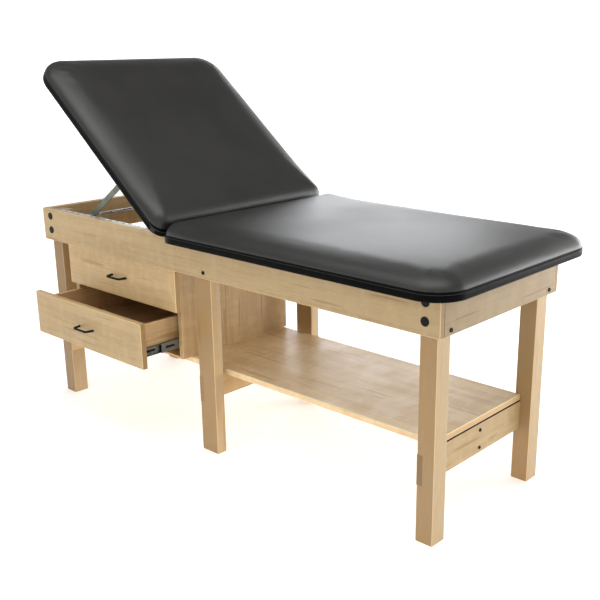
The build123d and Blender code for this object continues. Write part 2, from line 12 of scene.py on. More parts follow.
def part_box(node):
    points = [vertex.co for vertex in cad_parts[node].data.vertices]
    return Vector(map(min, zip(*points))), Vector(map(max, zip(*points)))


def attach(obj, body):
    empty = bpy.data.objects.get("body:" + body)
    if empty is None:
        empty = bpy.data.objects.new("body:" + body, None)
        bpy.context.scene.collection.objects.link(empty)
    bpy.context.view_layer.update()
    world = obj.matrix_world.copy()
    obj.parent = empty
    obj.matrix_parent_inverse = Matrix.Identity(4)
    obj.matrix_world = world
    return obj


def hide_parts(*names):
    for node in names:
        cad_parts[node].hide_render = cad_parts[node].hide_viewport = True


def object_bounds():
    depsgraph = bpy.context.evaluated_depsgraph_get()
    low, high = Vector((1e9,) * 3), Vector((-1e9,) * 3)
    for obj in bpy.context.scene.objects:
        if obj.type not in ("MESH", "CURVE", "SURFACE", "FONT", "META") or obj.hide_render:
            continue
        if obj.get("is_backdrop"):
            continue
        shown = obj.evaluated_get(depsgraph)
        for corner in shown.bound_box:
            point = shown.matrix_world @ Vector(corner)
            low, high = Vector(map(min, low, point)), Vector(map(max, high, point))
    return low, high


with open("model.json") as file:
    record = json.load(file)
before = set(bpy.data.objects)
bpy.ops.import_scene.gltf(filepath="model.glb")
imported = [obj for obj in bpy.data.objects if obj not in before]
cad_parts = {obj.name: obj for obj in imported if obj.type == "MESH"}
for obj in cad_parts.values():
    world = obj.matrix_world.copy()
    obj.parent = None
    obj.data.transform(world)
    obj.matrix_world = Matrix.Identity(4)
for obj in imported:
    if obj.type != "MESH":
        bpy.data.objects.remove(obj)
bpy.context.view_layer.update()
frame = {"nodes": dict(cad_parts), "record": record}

nodes = frame["nodes"]
MM = 0.001

# ---------------------------------------------------------------- sizes shared with the CAD model
seat_low, seat_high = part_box("seat_pad")
deck_low, deck_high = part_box("seat_deck")
hinge = Vector(frame["record"]["behaviour"]["joints"][0]["pos_m"])
PAD_WIDTH = seat_high[1] - seat_low[1]
BACK_ANGLE = math.radians(39.0)
BACK_LENGTH = 0.790
SEAT_DECK = deck_high[2] - deck_low[2]
BACK_DECK = 0.018
HINGE_GAP = 0.0105          # end of each pad from the hinge line
DECK_INSET = 0.003          # decks inside the edge of the pads
FREE_CORNER = 0.095         # radius of the corners at the free ends
HINGE_CORNER = 0.046        # and beside the hinge
PLY = 0.019                 # one laminated ply of a leg


# ---------------------------------------------------------------- node building helpers
class Nodes:
    """Short calls for building a shader's node tree."""

    def __init__(self, name):
        self.material = bpy.data.materials.new(name)
        self.material.use_nodes = True
        self.tree = self.material.node_tree
        self.tree.nodes.clear()
        self.output = self.tree.nodes.new("ShaderNodeOutputMaterial")
        self.shader = self.tree.nodes.new("ShaderNodeBsdfPrincipled")
        self.tree.links.new(self.shader.outputs[0], self.output.inputs[0])

    def add(self, kind, inputs=None, **settings):
        node = self.tree.nodes.new(kind)
        for key, value in settings.items():
            setattr(node, key, value)
        for key, value in (inputs or {}).items():
            self.put(node.inputs[key], value)
        return node

    def put(self, socket, value):
        if isinstance(value, bpy.types.NodeSocket):
            self.tree.links.new(value, socket)
        elif isinstance(value, bpy.types.Node):
            self.tree.links.new(value.outputs[0], socket)
        else:
            socket.default_value = value

    def maths(self, operation, a, b=0.0, clamp=False):
        node = self.add("ShaderNodeMath", {0: a, 1: b}, operation=operation)
        node.use_clamp = clamp
        return node.outputs[0]

    def mix(self, factor, a, b):
        node = self.add("ShaderNodeMix", data_type="RGBA")
        self.put(node.inputs["Factor"], factor)
        self.put(node.inputs[6], a)
        self.put(node.inputs[7], b)
        return node.outputs[2]

    def ramp(self, value, low, high, start=0.0, end=1.0):
        node = self.add("ShaderNodeMapRange", {"Value": value})
        node.inputs["From Min"].default_value = low
        node.inputs["From Max"].default_value = high
        node.inputs["To Min"].default_value = start
        node.inputs["To Max"].default_value = end
        node.interpolation_type = "SMOOTHSTEP"
        return node.outputs[0]

    def place(self, scale=(1, 1, 1), shift=(0, 0, 0), source=None):
        if source is None:
            source = self.add("ShaderNodeTexCoord").outputs["Object"]
        node = self.add("ShaderNodeMapping", {"Vector": source})
        node.inputs["Scale"].default_value = scale
        node.inputs["Location"].default_value = shift
        return node.outputs[0]

    def noise(self, vector, scale, detail=3.0, rough=0.5, distortion=0.0):
        inputs = {"Vector": vector, "Scale": scale, "Detail": detail,
                  "Roughness": rough, "Distortion": distortion}
        return self.add("ShaderNodeTexNoise", inputs).outputs[0]

    def bump(self, height, strength, distance, normal=None):
        inputs = {"Height": height, "Strength": strength, "Distance": distance}
        if normal is not None:
            inputs["Normal"] = normal
        return self.add("ShaderNodeBump", inputs).outputs[0]

    def surface(self, **values):
        for key, value in values.items():
            self.put(self.shader.inputs[key.replace("_", " ")], value)
        return self.material


def colour(red, green, blue):
    return (red, green, blue, 1.0)


def scaled(tone, red, green=None, blue=None):
    """A tone times one factor, or times a factor for each channel, kept within 1."""
    factors = (red, green or red, blue or red)
    return colour(*[min(1.0, value * factor) for value, factor in zip(tone, factors)])


def add_object(name, data):
    """A new object with this data, in the scene."""
    made = bpy.data.objects.new(name, data)
    bpy.context.scene.collection.objects.link(made)
    return made


def look_along(piece, direction):
    piece.rotation_mode = "QUATERNION"
    piece.rotation_quaternion = direction.to_track_quat("-Z", "Y")


AXIS = {"X": 0, "Y": 1, "Z": 2}
GRAIN_DRIFT = 0.05          # how far the rings wander across the grain, in metres
LACQUER_ROUGHNESS = 0.38


def wood(name, grain, light, dark, seed, plies=None, figure=1.0, end_tone=0.80):
    """Lacquered maple with its grain along one axis of the object.

    plies is (axis, start, thickness): boards laminated along that axis, each its own tone.
    end_tone is how dark the end grain is beside the darkest of the long grain.
    """
    n = Nodes(name)
    rng = random.Random(seed)
    shift = [rng.uniform(-3, 3) for _ in range(3)]
    source = n.add("ShaderNodeTexCoord").outputs["Object"]
    tone = rng.uniform(-0.5, 0.5)
    ply_tone = None
    glue = None
    if plies:
        axis, start, thickness = plies
        part = n.add("ShaderNodeSeparateXYZ", {0: source}).outputs[AXIS[axis]]
        count = n.maths("DIVIDE", n.maths("SUBTRACT", part, start), thickness)
        index = n.maths("FLOOR", count)
        chance = n.add("ShaderNodeTexWhiteNoise", noise_dimensions="1D")
        n.put(chance.inputs["W"], n.maths("ADD", index, seed + 0.37))
        front_ply = n.ramp(index, 0.2, 0.8, 0.72, 0.0)
        ply_tone = n.maths("ADD", front_ply, n.maths("MULTIPLY", chance.outputs["Value"], 0.22))
        away = n.maths("ABSOLUTE", n.maths("SUBTRACT", n.maths("FRACT", count), 0.5))
        glue = n.ramp(away, 0.482, 0.497)
        jump = n.add("ShaderNodeCombineXYZ", {0: n.maths("MULTIPLY", index, 1.7),
                                              2: n.maths("MULTIPLY", index, 2.3)})
        source = n.add("ShaderNodeVectorMath", {0: source, 1: jump}, operation="ADD").outputs[0]
    along = AXIS[grain]

    def stretched(across, lengthwise, offset=0.0, origin=source):
        scale = [across] * 3
        scale[along] = lengthwise
        return n.place(scale, [value + offset for value in shift], origin)

    waver = n.noise(stretched(2.2, 0.7), 1.0, 2, 0.5)
    drift = n.add("ShaderNodeCombineXYZ", {axis: n.maths("MULTIPLY", waver, GRAIN_DRIFT)
                                           for axis in range(3) if axis != along})
    sway = n.add("ShaderNodeVectorMath", {0: source, 1: drift}, operation="ADD").outputs[0]

    rings = n.noise(stretched(26, 1.3, 0.0, sway), 1.0, 3, 0.55, 0.4)
    streaks = n.noise(stretched(120, 2.6, 5, sway), 1.0, 4, 0.6)
    fibres = n.noise(stretched(620, 9, 9), 1.0, 2, 0.6)
    cloud = n.noise(stretched(5.5, 1.6, 2), 1.0, 3, 0.5)
    curl = n.noise(stretched(14, 34, 7), 1.0, 2, 0.4)

    amount = n.maths("MULTIPLY", n.ramp(rings, 0.38, 0.62), 0.34 * figure)
    amount = n.maths("ADD", amount,
                     n.maths("MULTIPLY", n.ramp(streaks, 0.42, 0.66), 0.20 * figure))
    amount = n.maths("ADD", amount, n.maths("MULTIPLY", n.ramp(cloud, 0.30, 0.72), 0.30))
    amount = n.maths("ADD", amount,
                     n.maths("MULTIPLY", n.ramp(curl, 0.44, 0.66), -0.24 * figure))
    amount = n.maths("ADD", amount, 0.12 * tone)
    if ply_tone is not None:
        own_tone = n.maths("MULTIPLY", n.maths("SUBTRACT", ply_tone, 0.5), 0.55)
        amount = n.maths("ADD", amount, own_tone)
    amount = n.maths("ADD", amount, 0.0, clamp=True)
    base = n.mix(amount, colour(*light), colour(*dark))
    flecks = n.noise(stretched(210, 42, 13), 1.0, 2, 0.5)
    base = n.mix(n.maths("MULTIPLY", n.ramp(flecks, 0.58, 0.68), 0.42), base,
                 scaled(light, 1.16))
    mineral = n.noise(stretched(75, 4, 21), 1.0, 1, 0.4)
    base = n.mix(n.maths("MULTIPLY", n.ramp(mineral, 0.67, 0.74), 0.55), base,
                 scaled(dark, 0.72, 0.66, 0.56))
    pore = n.maths("MULTIPLY", n.ramp(fibres, 0.56, 0.72), 0.30)
    base = n.mix(pore, base, scaled(dark, 0.62, 0.55, 0.45))

    # painted highlight: the rounded edges are painted paler wood than the flats, as if they catch
    # more light
    turned = n.add("ShaderNodeVectorMath", {0: n.add("ShaderNodeTexCoord").outputs["Normal"]},
                   operation="ABSOLUTE")
    sides = n.add("ShaderNodeSeparateXYZ", {0: turned.outputs[0]})
    widest = n.maths("MAXIMUM", sides.outputs[0], sides.outputs[1])
    flat = n.maths("MAXIMUM", widest, sides.outputs[2])
    edge = n.ramp(flat, 0.97, 0.80)
    base = n.mix(n.maths("MULTIPLY", edge, 0.85), base, scaled(light, 1.60))
    end_grain = n.ramp(sides.outputs[along], 0.90, 0.98)
    dots = n.noise(n.place((900, 900, 900), shift, source), 1.0, 2, 0.5)
    end_base = [dark[0] * end_tone, dark[1] * end_tone * 0.90, dark[2] * end_tone * 0.72]
    ends = n.mix(n.ramp(dots, 0.45, 0.65), colour(*end_base), scaled(end_base, 0.7))
    base = n.mix(n.maths("MULTIPLY", end_grain, 0.80), base, ends)
    if glue is not None:
        base = n.mix(n.maths("MULTIPLY", glue, 0.55), base, scaled(dark, 0.45, 0.38, 0.30))

    worn = n.noise(n.place((9, 9, 9), shift, source), 1.0, 4, 0.6)
    rough = n.ramp(worn, 0.3, 0.7, LACQUER_ROUGHNESS - 0.05, LACQUER_ROUGHNESS + 0.10)
    rough = n.maths("ADD", rough, n.maths("MULTIPLY", streaks, 0.08))
    relief = n.bump(fibres, 0.16, 0.0004)
    relief = n.bump(streaks, 0.10, 0.0006, relief)
    n.surface(Base_Color=base, Roughness=rough, Normal=relief)
    n.shader.inputs["Coat Weight"].default_value = 0.08
    n.shader.inputs["Coat Roughness"].default_value = 0.30
    n.shader.inputs["Specular IOR Level"].default_value = 0.36
    return n.material


def vinyl(name, base_tone, gloss):
    """Upholstery vinyl: a fine pressed leather grain, soft wide highlights, faint wear."""
    n = Nodes(name)
    here = n.place()
    cells = n.add("ShaderNodeTexVoronoi", {"Vector": here, "Scale": 720.0, "Randomness": 1.0},
                  feature="DISTANCE_TO_EDGE")
    grain = n.ramp(cells.outputs[0], 0.0, 0.16)
    coarse = n.noise(here, 260, 3, 0.6)
    soft = n.noise(here, 7, 3, 0.5)
    wide = n.noise(here, 2.1, 2, 0.5)
    base = n.mix(n.ramp(soft, 0.3, 0.7), colour(*base_tone), scaled(base_tone, 1.35))
    base = n.mix(n.maths("MULTIPLY", n.maths("SUBTRACT", 1.0, grain), 0.35), base,
                 scaled(base_tone, 0.5))
    rough = n.ramp(wide, 0.3, 0.7, 0.36, 0.44)
    rough = n.maths("ADD", rough, n.maths("MULTIPLY", coarse, 0.06))
    relief = n.bump(grain, 0.22, 0.0003)
    relief = n.bump(coarse, 0.12, 0.0006, relief)
    n.surface(Base_Color=base, Roughness=rough, Normal=relief)
    n.shader.inputs["Specular IOR Level"].default_value = gloss
    return n.material


def dust_cloth(name):
    """Thin black non-woven cloth under the decks, with the wrapped vinyl on their edges."""
    n = Nodes(name)
    here = n.place()
    strands = n.noise(n.place((900, 260, 600)), 1.0, 3, 0.7)
    dimples = n.add("ShaderNodeTexVoronoi", {"Vector": here, "Scale": 330.0}).outputs[0]
    base = n.mix(n.ramp(strands, 0.35, 0.7), colour(0.010, 0.010, 0.010),
                 colour(0.030, 0.030, 0.031))
    rough = n.ramp(strands, 0.3, 0.7, 0.75, 0.92)
    relief = n.bump(dimples, 0.35, 0.0003)
    relief = n.bump(strands, 0.30, 0.0003, relief)
    n.surface(Base_Color=base, Roughness=rough, Normal=relief)
    return n.material


def metal(name, tone, rough, brushed=None, metallic=1.0, worn=0.5):
    """Plated or painted steel with streaks, small scuffs and a slightly uneven finish."""
    n = Nodes(name)
    here = n.place()
    scale = [420.0] * 3
    if brushed:
        scale[AXIS[brushed]] = 14.0
    streaks = n.noise(n.place(scale), 1.0, 3, 0.6)
    blotch = n.noise(here, 38, 4, 0.6)
    scuffs = n.noise(n.place((260, 90, 200), (1, 2, 3)), 1.0, 2, 0.7)
    base = n.mix(n.ramp(blotch, 0.3, 0.7), scaled(tone, 0.62), colour(*tone))
    base = n.mix(n.maths("MULTIPLY", n.ramp(scuffs, 0.60, 0.75), worn), base, scaled(tone, 1.3))
    value = n.ramp(streaks, 0.3, 0.7, rough - 0.07, rough + 0.09)
    value = n.maths("ADD", value, n.maths("MULTIPLY", n.ramp(blotch, 0.4, 0.8), 0.10))
    relief = n.bump(streaks, 0.12, 0.0002)
    relief = n.bump(blotch, 0.08, 0.0004, relief)
    n.surface(Base_Color=base, Roughness=value, Normal=relief)
    n.shader.inputs["Metallic"].default_value = metallic
    n.shader.inputs["Specular IOR Level"].default_value = 0.5 if metallic else 0.14
    return n.material


def plastic(name, tone, rough):
    """Moulded black plastic with a fine spark texture and rubbed high spots."""
    n = Nodes(name)
    here = n.place()
    spark = n.noise(here, 900, 3, 0.7)
    rubbed = n.noise(here, 60, 3, 0.5)
    base = n.mix(n.ramp(rubbed, 0.4, 0.7), colour(*tone), scaled(tone, 1.8))
    value = n.ramp(rubbed, 0.3, 0.7, rough - 0.08, rough + 0.08)
    n.surface(Base_Color=base, Roughness=value, Normal=n.bump(spark, 0.20, 0.0002))
    n.shader.inputs["Specular IOR Level"].default_value = 0.12
    return n.material


# ---------------------------------------------------------------- materials for the CAD nodes
MAPLE = (0.620, 0.442, 0.222)
MAPLE_DARK = (0.465, 0.300, 0.130)
SHELF = (0.940, 0.700, 0.415)
SHELF_DARK = (0.770, 0.510, 0.255)
LEG = (0.500, 0.365, 0.212)
LEG_DARK = (0.530, 0.335, 0.132)
CABINET = (0.545, 0.368, 0.180)
CABINET_DARK = (0.400, 0.245, 0.105)
BOX = (0.600, 0.400, 0.195)
BOX_DARK = (0.425, 0.255, 0.108)

# tone factor for each board: partly the board's own tone, partly painted shade and light. The foot
# end rail and the side rails are darkened for the shade under the pad's overhang, the front left
# leg for the cabinet's shadow, and the drawer fronts and foot cross rail are set lighter or darker
# for how light falls on them
BOARD_TONE_AND_PAINTED_SHADE = {
    "foot_end_rail": 0.55, "front_side_rail": 0.78, "rear_side_rail": 0.84, "head_end_rail": 0.84,
    "lower_drawer_front": 0.79, "upper_drawer_front": 1.03, "foot_cross_rail": 0.82,
    "cabinet_right_panel": 0.95, "front_left_leg": 0.84, "lower_drawer_right_side": 0.80,
}
wood_grain = {}
for label in nodes:
    if label.endswith("_leg"):
        low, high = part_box(label)
        wood_grain[label] = ("Z", LEG, LEG_DARK, ("Y", low[1], PLY))
    elif label.endswith(("_cross_rail", "_end_rail")) or label == "seat_support_rail":
        wood_grain[label] = ("Y", MAPLE, MAPLE_DARK, None)
    elif label in ("front_side_rail", "rear_side_rail", "centre_stretchers"):
        wood_grain[label] = ("X", MAPLE, MAPLE_DARK, None)
    elif label == "shelf":
        wood_grain[label] = ("X", SHELF, SHELF_DARK, None)
    elif label in ("cabinet_left_panel", "cabinet_right_panel"):
        wood_grain[label] = ("Z", CABINET, CABINET_DARK, None)
    elif label in ("cabinet_top_panel", "cabinet_bottom_panel", "cabinet_back_panel"):
        wood_grain[label] = ("X", BOX, BOX_DARK, None)
    elif label in ("lower_drawer_front", "upper_drawer_front"):
        wood_grain[label] = ("X", MAPLE, MAPLE_DARK, None)
    elif "_drawer_" in label and label.endswith(("_side", "bottom")):
        wood_grain[label] = ("Y", BOX, BOX_DARK, None)
    elif "_drawer_" in label and label.endswith(("sub_front", "_back")):
        wood_grain[label] = ("X", BOX, BOX_DARK, None)

shared = {
    "zinc": metal("zinc_sheet", (0.235, 0.255, 0.240), 0.36, "Y"),
    "track": metal("track_steel", (0.74, 0.73, 0.69), 0.40, "X", 0.5),
    "grey_steel": metal("grey_green_steel", (0.200, 0.215, 0.165), 0.42, "X", 0.55),
    "bright_steel": metal("bright_steel", (0.78, 0.78, 0.76), 0.26, "Y", 0.8),
    "black_metal": metal("black_powder_coat", (0.005, 0.005, 0.005), 0.38, None, 0.0, 0.25),
    "black_plastic": plastic("black_plastic", (0.005, 0.005, 0.005), 0.40),
    "dust_cloth": dust_cloth("dust_cloth"),
    "vinyl": vinyl("charcoal_vinyl", (0.0125, 0.0121, 0.0108), 0.45),
    # painted shade: a much darker copy of the same vinyl, for the band under the rolled edge and
    # the cover's underside
    "vinyl_painted_shade": vinyl("vinyl_painted_shade", (0.0018, 0.0018, 0.0017), 0.04),
}
by_name = {
    "bolt_caps": "black_plastic", "shelf_strips": "black_plastic",
    "rail_screws": "black_metal", "stretcher_screws": "black_metal",
    "lower_drawer_handle": "black_metal", "upper_drawer_handle": "black_metal",
    "ratchet_tracks": "track", "prop_struts": "grey_steel", "prop_brackets": "grey_steel",
    "prop_foot_rod": "bright_steel", "prop_pivot_pins": "bright_steel",
    "hinge_pins": "bright_steel", "leg_bolts": "bright_steel",
    "seat_hinge_leaves": "bright_steel", "back_hinge_leaves": "bright_steel",
    "seat_deck": "dust_cloth", "back_deck": "dust_cloth", "seat_pad": "vinyl", "back_pad": "vinyl",
    "lower_drawer_handle_screws": "bright_steel", "upper_drawer_handle_screws": "bright_steel",
}
for place, (label, piece) in enumerate(sorted(nodes.items())):
    if label in wood_grain:
        grain, light, dark, plies = wood_grain[label]
        # the board's own tone together with its painted shade or light
        tone = BOARD_TONE_AND_PAINTED_SHADE.get(label, 1.0)
        light = [value * tone for value in light]
        dark = [value * tone for value in dark]
        figure = 1.5 if label == "shelf" else 1.0
        end_tone = 0.50 if label.endswith("_cross_rail") else 0.80
        material = wood("maple_" + label, grain, light, dark, 11 + 7 * place, plies,
                        figure=figure, end_tone=end_tone)
    elif "slide" in label:
        material = shared["zinc"]
    else:
        material = shared[by_name[label]]
    for material_slot in piece.material_slots:
        material_slot.material = material


# ---------------------------------------------------------------- the upholstered covers
def outline_point(s, length):
    """A point and outward normal at parameter s (metres round) on the pad's plan outline.

    Starts at the middle of the hinge end and runs round by way of the -Y side.
    """
    half = PAD_WIDTH / 2
    runs = [
        ("line", (HINGE_GAP, 0), (HINGE_GAP, -(half - HINGE_CORNER)), (-1, 0)),
        ("arc", (HINGE_GAP + HINGE_CORNER, -(half - HINGE_CORNER)), HINGE_CORNER, 180),
        ("line", (HINGE_GAP + HINGE_CORNER, -half), (length - FREE_CORNER, -half), (0, -1)),
        ("arc", (length - FREE_CORNER, -(half - FREE_CORNER)), FREE_CORNER, 270),
        ("line", (length, -(half - FREE_CORNER)), (length, half - FREE_CORNER), (1, 0)),
        ("arc", (length - FREE_CORNER, half - FREE_CORNER), FREE_CORNER, 360),
        ("line", (length - FREE_CORNER, half), (HINGE_GAP + HINGE_CORNER, half), (0, 1)),
        ("arc", (HINGE_GAP + HINGE_CORNER, half - HINGE_CORNER), HINGE_CORNER, 450),
        ("line", (HINGE_GAP, half - HINGE_CORNER), (HINGE_GAP, 0), (-1, 0)),
    ]
    for run in runs:
        if run[0] == "line":
            _, start, end, normal = run
            span = math.dist(start, end)
            if s <= span or run is runs[-1]:
                t = min(1.0, s / span)
                x = start[0] + (end[0] - start[0]) * t
                y = start[1] + (end[1] - start[1]) * t
                return (x, y), normal
        else:
            _, centre, radius, begin = run
            span = radius * math.pi / 2
            if s <= span:
                angle = math.radians(begin) + s / radius
                normal = (math.cos(angle), math.sin(angle))
                return (centre[0] + radius * normal[0], centre[1] + radius * normal[1]), normal
        s -= span
    return (HINGE_GAP, 0), (-1, 0)


def outline_length(length):
    """Distance round the pad's plan outline, in metres."""
    corners = math.pi / 2 * 2 * (FREE_CORNER + HINGE_CORNER)
    return (2 * (length - HINGE_GAP - HINGE_CORNER - FREE_CORNER)
            + PAD_WIDTH - 2 * HINGE_CORNER + PAD_WIDTH - 2 * FREE_CORNER + corners)


EDGE_RISE, EDGE_REACH = 41.5, 84.0      # the long rounding of the pad's edge, up and inwards
ROLL_START, ROLL_FOOT = 0.3, 3.4        # where that rounding begins, inwards and up
BAND_DECK = 19.0                        # the deck's thickness that BAND is drawn for
BAND = [(25.0, -19.5), (16.0, -19.6), (8.0, -19.6), (4.2, -19.3), (2.2, -17.8), (1.7, -14.5),
        (1.6, -10.0), (1.6, -6.0), (1.9, -3.2), (2.9, -1.4), (4.2, -0.4), (3.8, 0.7), (2.4, 1.7)]
ROLL = [(ROLL_START + EDGE_REACH * (1 - math.cos(math.radians(turn))),
         ROLL_FOOT + EDGE_RISE * math.sin(math.radians(turn)))
        for turn in (2, 6, 10, 14, 18, 22, 27, 32, 37, 42, 47, 53, 59, 65, 71, 77, 83)]
CROWN = 1.8                 # further rise of the middle, in millimetres
UNDERSIDE = -0.0030         # height of the cover's closed bottom from the deck's top, in metres
PROFILE = BAND + ROLL       # inward distance and height from the deck's top, in millimetres
PAINTED_SHADE_ROWS = 14              # rows of faces, from below, in the darker copy of the vinyl: painted shade on the band under the rolled edge
OUTLINE_STEP = 0.008        # spacing of points round the outline, in metres
NET_STEP = 0.011            # and over the top


def smooth(value, low, high):
    """A soft step from 0 at low to 1 at high."""
    t = min(1.0, max(0.0, (value - low) / (high - low)))
    return t * t * (3 - 2 * t)


def ripple(a, b, seed):
    """Slow unevenness of stretched vinyl over foam, about -1 to 1."""
    rng = random.Random(seed)
    total = 0.0
    for _ in range(7):
        wave = rng.uniform(5, 19)
        angle = rng.uniform(0, math.pi)
        total += math.sin(wave * (a * math.cos(angle) + b * math.sin(angle)) + rng.uniform(0, 6))
    return total / 4.5


def inward_depth(x, y, length):
    """Distance from a point inside the pad's plan to its outline, in metres."""
    half = PAD_WIDTH / 2
    best = min(x - HINGE_GAP, length - x, half - abs(y))
    for corner, radius in ((length, FREE_CORNER), (HINGE_GAP, HINGE_CORNER)):
        inside = radius - abs(corner - x), radius - (half - abs(y))
        if inside[0] > 0 and inside[1] > 0:
            best = radius - math.hypot(*inside)
    return best


def tightness(x):
    """How much of the edge's long rounding there is at x: less beside the hinge."""
    return 0.55 + 0.45 * smooth(x, 0.05, 0.20)


def crown(depth, x):
    """Height of the cover over the deck where it is this far in from the outline, in metres."""
    reach = min(1.0, max(0.0, (depth / MM - ROLL_START) / (EDGE_REACH * tightness(x))))
    rise = ROLL_FOOT + EDGE_RISE * math.sqrt(1 - (1 - reach) ** 2)
    return (rise + CROWN * (1 - math.exp(-max(0.0, depth - 0.06) / 0.09))) * MM


def cover(name, length, deck, seed):
    """One upholstered section in its own axes: x from the hinge, y across, z up from the deck."""
    total = outline_length(length)
    around = int(total / OUTLINE_STEP)
    count = len(PROFILE)
    points, faces, dark = [], [], []
    for k in range(around):
        s = total * k / around
        (x, y), (nx, ny) = outline_point(s, length)
        back_end = smooth(-nx, 0.0, 1.0) if x < length / 2 else 0.0
        corner = (4 * (nx * ny) ** 2) if x > length / 2 else 2 * (nx * ny) ** 2
        pleat = math.sin(s * 430 + 1.7 * math.sin(s * 90)) * corner
        for index, (inward, height) in enumerate(PROFILE):
            z = height if height > 0 else height * deck / BAND_DECK
            d = inward
            if index >= len(BAND):
                d = ROLL_START + (inward - ROLL_START) * tightness(x)
            if index < 4:
                d = inward + 1.2 * back_end
                z = z + (1.1 * back_end) + 0.35 * pleat * (1 - back_end)
            elif 1.0 < height < 30:
                d += 0.32 * max(0.0, pleat) * (1 - height / 30)
            if height > 1.0:
                d += 0.30 * ripple(x * 1.8, y * 1.8 + z * 0.02, seed)
            shift = back_end * (HINGE_GAP - DECK_INSET + 0.0026) * smooth(-height, -4.5, 0.5)
            points.append((x - nx * d * MM - shift, y - ny * d * MM, z * MM))
    for k in range(around):
        after = (k + 1) % around
        for i in range(count - 1):
            here, there = k * count + i, after * count + i
            faces.append((here, there, there + 1, here + 1))
            dark.append(i < PAINTED_SHADE_ROWS)

    # the open top is filled with an even net of points
    ring = [k * count + count - 1 for k in range(around)]
    flat = [Vector(points[i][:2]) for i in ring]
    edges = [(i, (i + 1) % around) for i in range(around)]
    seam = PROFILE[-1][0] * MM
    for row in range(1, int(length / NET_STEP)):
        for column in range(int(PAD_WIDTH / NET_STEP) + 1):
            px = row * NET_STEP + (0.5 * NET_STEP if column % 2 else 0.0)
            py = column * NET_STEP - PAD_WIDTH / 2
            if inward_depth(px, py, length) > seam * tightness(px) + 0.6 * NET_STEP:
                flat.append(Vector((px, py)))
    found, _, triangles, origins, _, _ = delaunay_2d_cdt(flat, edges, [], 1, 1e-7)
    slots_of = []
    for place, source in enumerate(origins):
        first = min(source) if source else None
        if first is not None and first < around:
            slots_of.append(ring[first])
        else:
            px, py = found[place]
            points.append((px, py, crown(inward_depth(px, py, length), px)))
            slots_of.append(len(points) - 1)
    for triangle in triangles:
        faces.append(tuple(slots_of[i] for i in triangle))
        dark.append(False)

    # the underside of the cover lies flat against the deck and closes the form
    under = len(points)
    for k in range(around):
        x, y, _ = points[k * count]
        points.append((x, y, UNDERSIDE))
    for k in range(around):
        after = (k + 1) % around
        faces.append((under + k, under + after, after * count, k * count))
        dark.append(True)
    faces.append(tuple(under + k for k in reversed(range(around))))
    dark.append(True)

    points = [(px, py, pz + 0.00045 * ripple(px, py, seed + 5) * smooth(pz, 0.025, 0.044))
              for px, py, pz in points]
    mesh = bpy.data.meshes.new(name)
    mesh.from_pydata(points, [], faces)
    mesh.materials.append(shared["vinyl"])
    mesh.materials.append(shared["vinyl_painted_shade"])
    # faces marked dark take the darker copy of the vinyl, the painted shade
    mesh.polygons.foreach_set("material_index", [int(value) for value in dark])
    mesh.update()
    return add_object(name, mesh)


def tidy_normals(piece):
    """Merges points that coincide and turns every face outwards."""
    mesh = bmesh.new()
    mesh.from_mesh(piece.data)
    bmesh.ops.remove_doubles(mesh, verts=mesh.verts, dist=0.00005)
    bmesh.ops.recalc_face_normals(mesh, faces=mesh.faces)
    mesh.to_mesh(piece.data)
    mesh.free()


CLOTH_FRAMES = 12
CLOTH_CAP = 0.0020          # the most that a point of the cover may move, in metres


def settle(piece):
    """Lets the cover puff and relax as cloth, keeps its edges, and applies the result."""
    rest = np.empty(len(piece.data.vertices) * 3)
    piece.data.vertices.foreach_get("co", rest)
    rest = rest.reshape(-1, 3)
    held = piece.vertex_groups.new(name="held")
    low = [int(i) for i in np.nonzero(rest[:, 2] < 0.004)[0]]
    held.add(low, 1.0, "REPLACE")
    cloth = piece.modifiers.new("cloth", "CLOTH")
    cloth.settings.quality = 4
    cloth.settings.use_pressure = True
    cloth.settings.uniform_pressure_force = 4.0
    cloth.settings.vertex_group_mass = "held"
    cloth.settings.mass = 0.4
    cloth.settings.tension_stiffness = 25
    cloth.settings.compression_stiffness = 25
    cloth.settings.bending_stiffness = 0.6
    cloth.settings.effector_weights.gravity = 0.0
    cloth.collision_settings.use_collision = False
    cloth.collision_settings.use_self_collision = False
    scene = bpy.context.scene
    for number in range(1, CLOTH_FRAMES + 1):
        scene.frame_set(number)
    evaluated = piece.evaluated_get(bpy.context.evaluated_depsgraph_get())
    moved = np.empty(len(rest) * 3)
    evaluated.data.vertices.foreach_get("co", moved)
    moved = moved.reshape(-1, 3)
    piece.modifiers.remove(cloth)
    scene.frame_set(1)
    change = moved - rest
    size = np.linalg.norm(change, axis=1, keepdims=True)
    change *= np.minimum(1.0, CLOTH_CAP / np.maximum(size, 1e-9))
    piece.data.vertices.foreach_set("co", (rest + change).reshape(-1))
    piece.data.update()


def finish_cover(piece, matrix, body, node):
    """Puts a cover in its place on the table, hangs it on the body it rides and hides the CAD part
    it replaces.
    """
    piece.data.transform(matrix)
    piece.data.update()
    for polygon in piece.data.polygons:
        polygon.use_smooth = True
    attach(piece, body)
    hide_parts(node)


seat_length = seat_high[0] - hinge.x
seat_cushion = cover("seat_cushion", seat_length, SEAT_DECK / MM, 3)
back_cushion = cover("back_cushion", BACK_LENGTH, BACK_DECK / MM, 8)
for piece in (seat_cushion, back_cushion):
    tidy_normals(piece)
    settle(piece)

seat_matrix = Matrix.Translation(Vector((hinge.x, hinge.y, deck_high[2])))
back_axes = Matrix((
    (-math.cos(BACK_ANGLE), 0, math.sin(BACK_ANGLE)),
    (0, -1, 0),
    (math.sin(BACK_ANGLE), 0, math.cos(BACK_ANGLE)),
)).to_4x4()
back_matrix = Matrix.Translation(hinge) @ back_axes
finish_cover(seat_cushion, seat_matrix, "root", "seat_pad")
finish_cover(back_cushion, back_matrix, "backrest", "back_pad")

